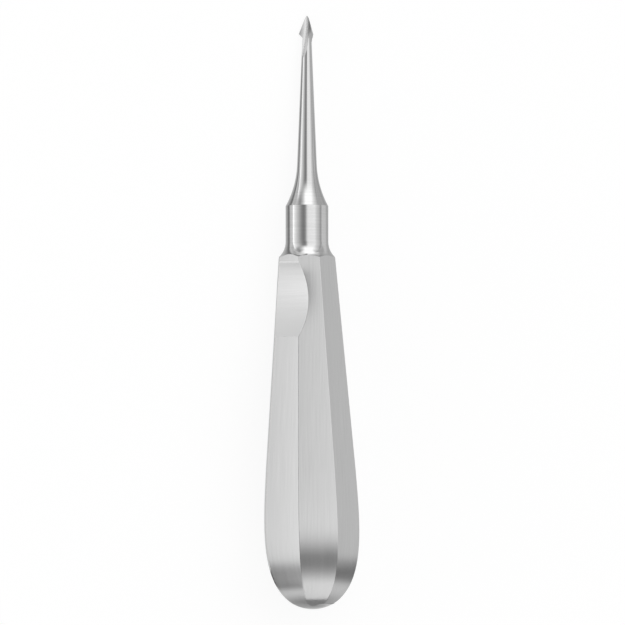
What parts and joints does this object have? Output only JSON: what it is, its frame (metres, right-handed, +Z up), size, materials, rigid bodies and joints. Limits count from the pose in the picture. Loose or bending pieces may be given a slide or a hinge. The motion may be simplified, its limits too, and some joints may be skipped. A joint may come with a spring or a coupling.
{
  "type": "dental luxator",
  "caption": "Steel dental luxator for loosening tooth roots: a hollow-ground spear point, a long tapering shank, a turned collar, and a thick faceted handle with a thumb rest and rounded butt.",
  "frame": {"origin": "on the flat of the handle that it lies on, midway along that flat's plane part", "axes": "+Y from the handle to the point, lengthwise and level; +Z up, square to the flat it lies on"},
  "size_m": [0.0233, 0.1482, 0.0238],
  "materials": {
    "stainless_steel": "satin handle with fine lengthwise brushing, brighter polish on the collar, shank and point"
  },
  "bodies": {
    "root": {"luxator": "stainless_steel"}
  },
  "joints": []
}
